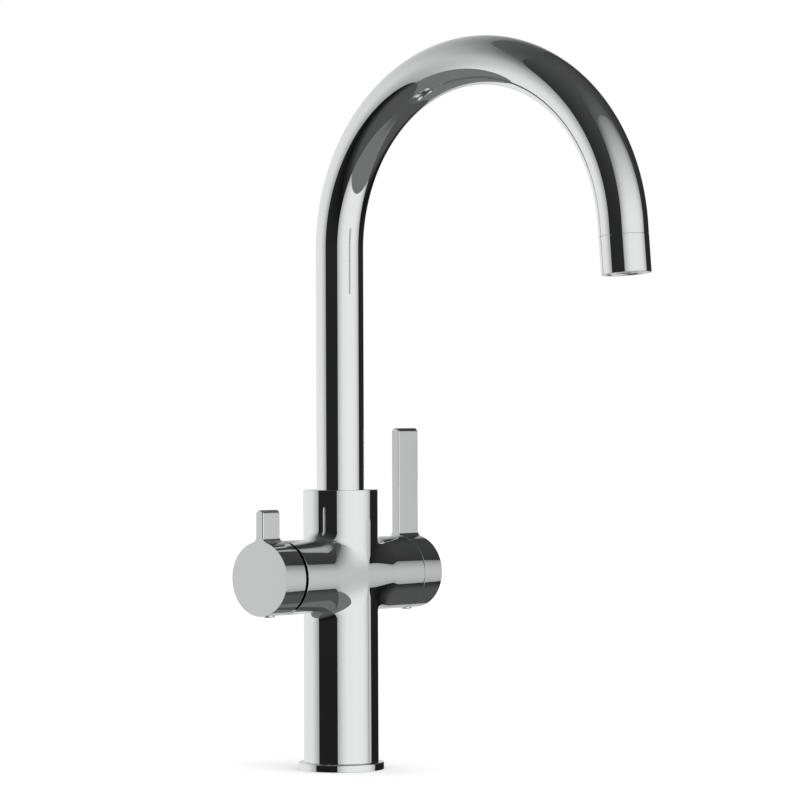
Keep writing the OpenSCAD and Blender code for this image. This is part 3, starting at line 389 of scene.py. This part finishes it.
# ---- Column and barrel ----
# One hollow brass casting, turned, polished and plated. In front, the cross barrel runs
# over the upright column on long flat ramps. On top and below, the two meet in a small
# hollow corner. The skin is laid out line by line.
column_r = 20
column_foot = flange_h
column_top = 149.2
barrel_r = 19.67
barrel_z = 103.6
barrel_left = 46.9
barrel_right = 46.45
corner_r = 5.2
ramp_start = 22.5
corner_steps = 32
quarter_steps = 56
top_rim = 0.2
foot_rim = 0.25
end_rim = 0.12
support = 0.4
widen_over = 20
keeper_z = 136.625
keeper_hole_r = 2.55
keeper_frame = 4
keeper_line = 15
keeper_thread_r = 2.52
chamber_r, chamber_top = 16.3, 64
socket_r, socket_foot = 12.79, 126.2
mouth_r, left_mouth, right_mouth = 15.5, 35.9, 39.95
valve_thread_r, valve_floor = 10.45, 17.4
ring_way_r, ring_way_out, ring_way_in = 14.2, 31.5, 25.1
cartridge_bore_r, cartridge_floor = 12.55, 17.4
corners = []
faces = []


def rim_steps(size):
    """A rounded rim, as pairs of how far the wall draws in and how far the end is."""
    return [(size * (1 - math.cos(math.radians(part))),
             size * (1 - math.sin(math.radians(part)))) for part in range(0, 91, 15)]


def column_turn(share):
    """How far round the column a line of the skin stands. The lines crowd in front."""
    return math.pi / 2 * share ** 1.53


def skin_line(share, arm_end, column_end, rim, levels):
    """One line of the skin in one eighth of the body: in along the arm, up its ramp and
    along the column to its end. The share goes from 0 in front to 1 on top."""
    lean = math.pi / 2 * share ** 0.67
    turn = column_turn(share)
    out, rise = math.cos(lean), math.sin(lean)
    foot_of_ramp = Vector((ramp_start, barrel_r * out, barrel_r * rise))
    top_of_ramp = Vector((barrel_r * math.sin(turn), barrel_r * math.cos(turn),
                          barrel_r * rise))
    ramp = foot_of_ramp - top_of_ramp
    softness = corner_r * rise ** 0.7
    line = [(arm_end - away, (barrel_r - inward) * out, (barrel_r - inward) * rise, 0)
            for inward, away in reversed(rim_steps(end_rim))]
    line += [(arm_end - end_rim - support, barrel_r * out, barrel_r * rise, 0),
             (ramp_start + softness + support, barrel_r * out, barrel_r * rise, 0)]
    for step in range(corner_steps + 1):
        middle = -ramp.length - softness + (ramp.length + 2 * softness) * step / corner_steps
        total = Vector((0, 0, 0))
        for sample in range(-11, 12, 2):
            way = middle + softness * sample / 12
            if way > 0:
                total += top_of_ramp + Vector((0, 0, way))
            elif way > -ramp.length:
                total += top_of_ramp - ramp.normalized() * way
            else:
                total += foot_of_ramp - Vector((way + ramp.length, 0, 0))
        x, y, up = total / 12
        line.append((x, y, up, step / corner_steps))
    line += [(top_of_ramp.x, top_of_ramp.y, height_now, 1) for height_now in
             [top_of_ramp.z + softness + support] + levels + [column_end - rim - support]]
    line += [(top_of_ramp.x * (1 - inward / column_r), top_of_ramp.y * (1 - inward / column_r),
              column_end - away, 1) for inward, away in rim_steps(rim)]
    placed = []
    for x, y, up, on_column in line:
        level = min(abs(up) / widen_over, 1)
        widen = 1 + (column_r / barrel_r - 1) * on_column ** 2 * level ** 2 * (3 - 2 * level)
        placed.append((x * widen, y * widen, up))
    return placed


keeper_levels = [keeper_z - barrel_z - keeper_frame + step for step in range(9)]
for mirror_x, arm_end in [(-1, barrel_left), (1, barrel_right)]:
    for mirror_up, column_end, rim, levels in [
            (1, column_top - barrel_z, top_rim, keeper_levels),
            (-1, barrel_z - column_foot, foot_rim, [])]:
        for mirror_y in (-1, 1):
            before = None
            for step in range(quarter_steps + 1):
                row = []
                for x, y, up in skin_line(step / quarter_steps, arm_end, column_end, rim,
                                          levels):
                    row.append(len(corners))
                    corners.append((mirror_x * x * mm, mirror_y * y * mm,
                                    (barrel_z + mirror_up * up) * mm))
                if before:
                    faces += zip(before, before[1:], row[1:], row)
                before = row

skin = bpy.data.meshes.new("column_and_barrel")
skin.from_pydata(corners, [], faces)
column = bpy.data.objects.new("column_and_barrel", skin)
bpy.context.scene.collection.objects.link(column)
take(column)
bpy.ops.object.mode_set(mode="EDIT")
close_seams(0.001)

# The keeper screw's hole at the back: the skin is opened, joined to a circle that lies on
# the column, chamfered and sunk
frame_half = column_r * math.sin(column_turn(keeper_line / quarter_steps))
pick(column, "FACE", lambda face: (
    face.calc_center_median().y > 15 * mm
    and abs(face.calc_center_median().x) < frame_half * mm
    and abs(face.calc_center_median().z - keeper_z * mm) < keeper_frame * mm))
bpy.ops.mesh.delete(type="FACE")
bpy.ops.mesh.primitive_circle_add(
    vertices=40, radius=(keeper_hole_r + 0.15) * mm,
    location=(0, column_r * mm, keeper_z * mm), rotation=(math.pi / 2, 0, 0))
column_mesh = bmesh.from_edit_mesh(column.data)
for point in column_mesh.verts:
    if point.select:
        point.co.y = math.sqrt((column_r * mm) ** 2 - point.co.x ** 2)
pick(column, "EDGE", lambda edge: len(edge.link_faces) < 2 and all(
    point.co.y > 15 * mm and abs(point.co.z - keeper_z * mm) < 5 * mm
    for point in edge.verts))
bpy.ops.mesh.bridge_edge_loops()
for shrink, inward in [(keeper_hole_r / (keeper_hole_r + 0.15), 0.15), (1, 2.6)]:
    pick(column, "EDGE", lambda edge: len(edge.link_faces) < 2 and all(
        point.co.y > 15 * mm and abs(point.co.z - keeper_z * mm) < 3 * mm
        for point in edge.verts))
    bpy.ops.mesh.extrude_region_move(
        TRANSFORM_OT_translate={"value": (0, -inward * mm, 0)})
    bpy.ops.transform.resize(value=(shrink, 1, shrink),
                             center_override=(0, 0, keeper_z * mm))
bpy.ops.mesh.select_all(action="SELECT")
bpy.ops.mesh.fill_holes(sides=0)
bpy.ops.mesh.select_all(action="SELECT")
bpy.ops.mesh.normals_make_consistent(inside=False)
bpy.ops.object.mode_set(mode="OBJECT")


def drill(piece, r, start, end, steps=96):
    """Drills a round hole into a piece, from one point to another."""
    start, end = Vector(start) * mm, Vector(end) * mm
    bpy.ops.object.select_all(action="DESELECT")
    bpy.ops.mesh.primitive_cylinder_add(
        vertices=steps, radius=r * mm, depth=(end - start).length,
        location=(start + end) / 2,
        rotation=(end - start).to_track_quat("Z", "Y").to_euler())
    bit = bpy.context.object
    hole = piece.modifiers.new("hole", "BOOLEAN")
    hole.operation = "DIFFERENCE"
    hole.solver = "EXACT"
    hole.object = bit
    bpy.context.view_layer.objects.active = piece
    bpy.ops.object.modifier_apply(modifier=hole.name)
    bpy.data.objects.remove(bit)


def drill_along_barrel(piece, r, x0, x1, steps=96):
    """Drills along the barrel's axis."""
    drill(piece, r, (x0, 0, barrel_z), (x1, 0, barrel_z), steps)


# Each drill starts a millimetre outside: the foot's chamber, the spout's socket, the boiling
# valve's mouth, thread and ring-shaped way, the mixer's mouth and bore, the keeper's thread
drill(column, chamber_r, (0, 0, column_foot - 1), (0, 0, chamber_top))
drill(column, socket_r, (0, 0, socket_foot), (0, 0, column_top + 1), 160)
drill_along_barrel(column, mouth_r, -barrel_left - 1, -left_mouth)
drill_along_barrel(column, valve_thread_r, -left_mouth - 1, -valve_floor)
drill_along_barrel(column, ring_way_r, -ring_way_out, -ring_way_in)
drill_along_barrel(column, mouth_r, right_mouth, barrel_right + 1)
drill_along_barrel(column, cartridge_bore_r, cartridge_floor, right_mouth + 1)
drill(column, keeper_thread_r, (0, 18, keeper_z), (0, 12, keeper_z), 48)
round_edges(column, 0)
finish_piece(column, chrome, "tap_body", "chrome_plate", "body")

# ---- Spout's socket ----
# The spout stands on a plastic glide ring. A steel screw with a dog point, set into the
# back of the column, keeps it in, and a rubber ring seals the inner tube below.
steel, steel_surface, steel_tree, steel_grain = make_finish(
    "plain_stainless", 1, (0.55, 0.55, 0.555), (0.64, 0.64, 0.645), 0.16, 0.3, 0.6 * mm)
add_bump(steel_tree, steel_surface, steel_grain, 0.002 * mm)
plastic, plastic_surface, plastic_tree, plastic_grain = make_finish(
    "moulded_plastic", 0, (0.66, 0.66, 0.64), (0.74, 0.74, 0.72), 0.32, 0.5, 0.7 * mm)
plastic_surface.inputs["Subsurface Weight"].default_value = 0.05
plastic_surface.inputs["Subsurface Radius"].default_value = (0.001, 0.001, 0.001)
add_bump(plastic_tree, plastic_surface, plastic_grain, 0.006 * mm)
dress(plastic, "spout_glide_ring")
dress(steel, "spout_keeper_screw")
dress(rubber, "boiling_tube_seal")

# ---- Spout: foot and tube ----
# A chromed brass tube of 25.4 mm, bent in one wide arch. It is soldered onto a turned
# spigot with two rubber rings, which turns in the column.
tube_r = 12.71
tube_bore_r = 11.51
tube_foot = 146
arch_r = 95.4
arch_z = 277.2
arch_sweep = math.radians(175.3)
tail_l = 25.7
collar_l = 19.3
tube_sides = 128
dress(brass, "spout_spigot")
dress(rubber, "spigot_sealing_rings")

bpy.ops.object.select_all(action="DESELECT")
bpy.ops.mesh.primitive_circle_add(vertices=tube_sides, radius=tube_r * mm,
                                  location=(0, 0, tube_foot * mm))
tube = bpy.context.object
tube.name = tube.data.name = "spout_bent_tube"
bpy.ops.object.transform_apply(location=True, rotation=True, scale=True)
bpy.ops.object.mode_set(mode="EDIT")
bpy.ops.mesh.select_all(action="SELECT")
bpy.ops.mesh.extrude_region_move()
bpy.ops.transform.resize(value=(tube_bore_r / tube_r,) * 3,
                         center_override=(0, 0, tube_foot * mm))
bpy.ops.mesh.select_all(action="SELECT")
bpy.ops.mesh.extrude_region_move(
    TRANSFORM_OT_translate={"value": (0, 0, (arch_z - tube_foot) * mm)})
bpy.ops.mesh.spin(steps=150, angle=arch_sweep, axis=(-1, 0, 0),
                  center=(0, -arch_r * mm, arch_z * mm))
tail_way = Vector((0, -math.sin(math.pi - arch_sweep), -math.cos(math.pi - arch_sweep)))
bpy.ops.mesh.extrude_region_move(
    TRANSFORM_OT_translate={"value": tail_way * (tail_l - collar_l) * mm})
close_seams(0.001)
bpy.ops.object.mode_set(mode="OBJECT")
round_edges(tube, 0.08 * mm, 60)
finish_piece(tube, chrome, "spout", "chrome_plate", "spout_tube")

# ---- Spout: inner tube ----
# Boiling water has its own plastic tube inside the spout. Moulded clips around it hold it
# in the middle of the bend.
dress(plastic, "boiling_tube", "tube_spacers")

# ---- Outlet ----
# A plated bush with a rubber ring joins the tube and a turned, chromed collar. The collar's
# lip holds the plastic flow insert, and the steel boiling nozzle is in its middle.
lip_h = 0.8
lip_bore_r = 9.8
insert_seat_r = 10.5
bush_seat_r = 11.51
bush_seat = 10.6
collar_top = 19.15
outlet_middle = (Vector((0, -arch_r - arch_r * math.cos(math.pi - arch_sweep), 0))
                 + Vector((0, 0, arch_z + arch_r * math.sin(math.pi - arch_sweep)))
                 + tail_way * tail_l)
outlet_side = Vector((0, -tail_way.z, tail_way.y))
dress(chrome, "outlet_bush")
dress(rubber, "outlet_sealing_ring")
dress(plastic, "outlet_flow_insert")
dress(steel, "boiling_nozzle")

collar_profile = [(lip_bore_r, 0.15), (lip_bore_r + 0.15, 0), (tube_r - 0.3, 0),
                  (tube_r - 0.09, 0.09), (tube_r, 0.3), (tube_r, collar_top - 0.08),
                  (tube_r - 0.08, collar_top), (bush_seat_r, collar_top),
                  (bush_seat_r, bush_seat), (insert_seat_r, bush_seat),
                  (insert_seat_r, lip_h), (lip_bore_r, lip_h)]
collar = draw_profile("outlet_turned_collar", [
    (outlet_middle + outlet_side * out - tail_way * up) * mm for out, up in collar_profile])
spin_profile(collar, outlet_middle * mm, tail_way, closed=True)
round_edges(collar, 0)
finish_piece(collar, chrome, "spout", "chrome_plate", "outlet_collar")

# ---- Boiling valve ----
# A turned brass headwork with two ceramic discs, sealed by rubber, and a steel lock ring.
# The return spring is wound from steel wire. It stands on the headwork.
spring_r = 5.8
spring_wire_r = 0.6
spring_outer_end = -50.07
spring_foot = -41.03
spring_curls = 4
ceramic, ceramic_surface, ceramic_tree, ceramic_grain = make_finish(
    "ground_ceramic", 0, (0.76, 0.74, 0.68), (0.82, 0.8, 0.75), 0.12, 0.22, 0.4 * mm)
ceramic_surface.inputs["Specular IOR Level"].default_value = 0.6
add_bump(ceramic_tree, ceramic_surface, ceramic_grain, 0.001 * mm)
dress(brass, "boil_headwork", "boil_spindle")
dress(rubber, "boil_seat_seal", "boil_spindle_seal")
dress(ceramic, "boil_fixed_disc", "boil_turning_disc")
dress(steel, "boil_lock_ring", "boil_end_screw")

bpy.ops.object.select_all(action="DESELECT")
bpy.ops.mesh.primitive_circle_add(
    vertices=16, radius=spring_wire_r * mm, rotation=(math.pi / 2, 0, 0),
    location=((spring_outer_end + spring_wire_r) * mm, 0, spring_r * mm))
spring = bpy.context.object
spring.name = spring.data.name = "boiling_lever_spring"
bpy.ops.object.transform_apply(location=True, rotation=True, scale=True)
winding = spring.modifiers.new("winding", "SCREW")
winding.axis = "X"
winding.steps = winding.render_steps = 36
winding.iterations = spring_curls
winding.screw_offset = (spring_foot - spring_outer_end - 2 * spring_wire_r) / spring_curls * mm
bpy.ops.object.modifier_apply(modifier=winding.name)
spring.location.z = barrel_z * mm
bpy.ops.object.transform_apply(location=True, rotation=True, scale=True)
bpy.ops.object.mode_set(mode="EDIT")
bpy.ops.mesh.select_all(action="SELECT")
bpy.ops.mesh.fill_holes(sides=0)
bpy.ops.mesh.select_all(action="SELECT")
bpy.ops.mesh.normals_make_consistent(inside=False)
bpy.ops.object.mode_set(mode="OBJECT")
round_edges(spring, 0)
finish_piece(spring, steel, "tap_body", "stainless", "boil_return_spring")
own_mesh(spring)

# ---- Boiling lever ----
# A chromed cap with a short blade in one piece. A brass adapter in its bore slides on the
# spindle's flats, and the lock pin stands in its mouth.
blade_half = 2.65
blade_corner = 2.3
blade_edge = 0.6
cap_edge = 0.18
neck_fillet = 2.5
neck_foot = 19.15
boil_end = -63.6
boil_mouth = -48.9
boil_blade_end = -50.5
boil_blade_h = 16.4
cap_sides = 192
cap_wall = 2.4
adapter_r = 7.05
recess_r, recess_depth = 15.8, 4
screw_from_end = 7.3
screw_hole_r = 2.05
plug_hole_r, plug_hole_depth = 3, 3
pin_hole_r, pin_hole_end, pin_side = 1.3, -55.9, 8.839
dress(brass, "boil_adapter")
dress(steel, "boil_lock_pin", "boil_fixing_screw")


def lever_blank(name, end, blade_h, step_at, far_end, longer):
    """A cap with its blade, drawn as one outline on the lever's end face and extruded up to
    a step. The longer of the two, the cap or the blade, goes on from there to its far end."""
    neck_y = blade_half + neck_fillet
    neck_z = math.sqrt((barrel_r + neck_fillet) ** 2 - neck_y ** 2)
    shrink = barrel_r / (barrel_r + neck_fillet)
    flare = math.asin(neck_y * shrink / barrel_r)
    top = barrel_r + blade_h
    half = [(barrel_r * math.sin(flare), barrel_r * math.cos(flare))]
    start = math.atan2(neck_z * (shrink - 1), neck_y * (shrink - 1))
    steps = 10
    for step in range(1, steps + 1):
        turn = start + (-math.pi - start) * step / steps
        half.append((neck_y + neck_fillet * math.cos(turn),
                     neck_z + neck_fillet * math.sin(turn)))
    for step in range(0, 9):
        turn = math.pi / 2 * step / 8
        half.append((blade_half - blade_corner + blade_corner * math.cos(turn),
                     top - blade_corner + blade_corner * math.sin(turn)))
    arc_steps = 6
    under = [-flare + 2 * flare * step / arc_steps for step in range(1, arc_steps)]
    cap_steps = cap_sides - arc_steps
    round_part = [flare + (math.tau - 2 * flare) * step / cap_steps
                  for step in range(cap_steps + 1)]
    shared = [(barrel_r * math.sin(turn), barrel_r * math.cos(turn)) for turn in under]
    blade = half + [(-y, z) for y, z in reversed(half)] + shared
    cap = [(barrel_r * math.sin(turn), barrel_r * math.cos(turn)) for turn in round_part]
    drawn = []
    for part, outline in [(name + "_blade", blade), (name, cap + shared)]:
        drawn.append(draw_profile(
            part, [Vector((end, y, barrel_z + z)) * mm for y, z in outline]))
        bpy.ops.mesh.select_all(action="SELECT")
        bpy.ops.mesh.edge_face_add()
        bpy.ops.object.mode_set(mode="OBJECT")
    piece = drawn[-1]
    take(piece)
    drawn[0].select_set(True)
    bpy.ops.object.join()
    bpy.ops.object.mode_set(mode="EDIT")
    close_seams(0.002)
    bpy.ops.mesh.select_all(action="SELECT")
    bpy.ops.mesh.extrude_region_move(
        TRANSFORM_OT_translate={"value": ((step_at - end) * mm, 0, 0)})
    pick(piece, "FACE", lambda face: (
        abs(face.calc_center_median().x - step_at * mm) < 0.01 * mm
        and (face.calc_center_median().z > (barrel_z + 5) * mm) == (longer == "blade")))
    bpy.ops.mesh.extrude_region_move(
        TRANSFORM_OT_translate={"value": ((far_end - step_at) * mm, 0, 0)})
    bpy.ops.mesh.select_all(action="SELECT")
    bpy.ops.mesh.normals_make_consistent(inside=False)
    bpy.ops.object.mode_set(mode="OBJECT")
    return piece


def round_lever(piece):
    """Rounds the long edges of a lever's blade well, and the rims of its cap a little."""
    bpy.ops.object.mode_set(mode="EDIT")
    bpy.ops.mesh.select_all(action="SELECT")
    bpy.ops.mesh.remove_doubles(threshold=0.002 * mm)
    pick(piece, "EDGE", lambda edge: edge.calc_face_angle(1) < math.radians(0.1))
    bpy.ops.mesh.dissolve_edges(use_verts=True)
    pick(piece, "EDGE", lambda edge: (
        edge.is_convex and edge.calc_face_angle(0) > math.radians(45)
        and all(point.co.z > (barrel_z + barrel_r + 1) * mm for point in edge.verts)))
    bpy.ops.mesh.bevel(offset=blade_edge * mm, segments=5, profile=0.5)
    pick(piece, "EDGE", lambda edge: (
        edge.is_convex and edge.calc_face_angle(0) > math.radians(45)
        and all(point.co.z < (barrel_z + neck_foot) * mm for point in edge.verts)))
    bpy.ops.mesh.bevel(offset=cap_edge * mm, segments=3, profile=0.5)
    bpy.ops.object.mode_set(mode="OBJECT")
    round_edges(piece, 0)


def drill_cap(piece, end, mouth):
    """Bores a cap for its adapter, its spindle and the fixing screw with its plug. The two
    upright drills have no corner over the cap's lowest line, where it would leave a crack."""
    inward = 1 if mouth > end else -1
    screw_x = end + inward * screw_from_end
    underside = barrel_z - barrel_r
    drill_along_barrel(piece, adapter_r, end + inward * cap_wall, mouth + inward)
    drill_along_barrel(piece, recess_r, mouth - inward * recess_depth, mouth + inward)
    drill(piece, screw_hole_r, (screw_x, 0, underside - 1), (screw_x, 0, barrel_z - 2), 50)
    drill(piece, plug_hole_r, (screw_x, 0, underside - 1),
          (screw_x, 0, underside + plug_hole_depth), 66)
    bpy.ops.object.mode_set(mode="EDIT")
    bpy.ops.mesh.select_all(action="SELECT")
    bpy.ops.mesh.remove_doubles(threshold=0.0005 * mm)
    bpy.ops.object.mode_set(mode="OBJECT")


boil_cap = lever_blank("boiling_lever_cap", boil_end, boil_blade_h, boil_blade_end,
                       boil_mouth, "cap")
round_lever(boil_cap)
drill_cap(boil_cap, boil_end, boil_mouth)
drill(boil_cap, pin_hole_r, (pin_hole_end, -pin_side, barrel_z + pin_side),
      (pin_hole_end + 4, -pin_side, barrel_z + pin_side), 32)
finish_piece(boil_cap, chrome, "boil_lever", "chrome_plate", "boil_handle")

# ---- Screw plugs ----
# Each cap's fixing screw hides behind a small chromed plug with a domed face, pressed into
# the underside of the cap.
plug_r = 2.95
plug_low = 83.13
plug_high = 86.83


def make_plug(name, x, body, replaced):
    """A turned plug with a gently domed face and a rounded rim."""
    profile = [(0, plug_high), (plug_r - 0.3, plug_high), (plug_r, plug_high - 0.3),
               (plug_r, plug_low + 0.45), (plug_r - 0.1, plug_low + 0.22),
               (plug_r - 0.35, plug_low + 0.12), (plug_r / 2, plug_low + 0.03),
               (0, plug_low)]
    plug = draw_profile(name, [Vector((x + out, 0, up)) * mm for out, up in profile])
    spin_profile(plug, (x * mm, 0, 0), (0, 0, 1), closed=False)
    round_edges(plug, 0)
    finish_piece(plug, chrome, body, "chrome_plate", replaced)


make_plug("boiling_lever_plug", boil_end + screw_from_end, "boil_lever", "boil_screw_plug")

# ---- Mixer cartridge ----
# A moulded plastic housing with two ceramic discs, a brass spindle and a steel retaining
# nut, screwed into the barrel's right end.
dress(plastic, "mixer_housing")
dress(rubber, "mixer_base_seal", "mixer_spindle_seal")
dress(ceramic, "mixer_fixed_disc", "mixer_turning_disc")
dress(brass, "mixer_spindle")
dress(steel, "mixer_retaining_nut", "mixer_end_screw")

# ---- Mixer lever ----
# The same cap with a long blade, which reaches a little over the barrel. It is clamped on
# its adapter by a screw under the cap.
mixer_end = 60.7
mixer_mouth = 46.75
mixer_blade_end = 44.7
mixer_blade_h = 58.4
overhang_r = barrel_r + 0.3
dress(brass, "mixer_adapter")
dress(steel, "mixer_fixing_screw")

mixer_cap = lever_blank("mixer_lever_cap", mixer_end, mixer_blade_h, mixer_mouth,
                        mixer_blade_end, "blade")
drill_along_barrel(mixer_cap, overhang_r, 44, mixer_mouth - 0.001, cap_sides)
round_lever(mixer_cap)
drill_cap(mixer_cap, mixer_end, mixer_mouth)
finish_piece(mixer_cap, chrome, "mixer_lever", "chrome_plate", "mixer_handle")
make_plug("mixer_lever_plug", mixer_end - screw_from_end, "mixer_lever", "mixer_screw_plug")
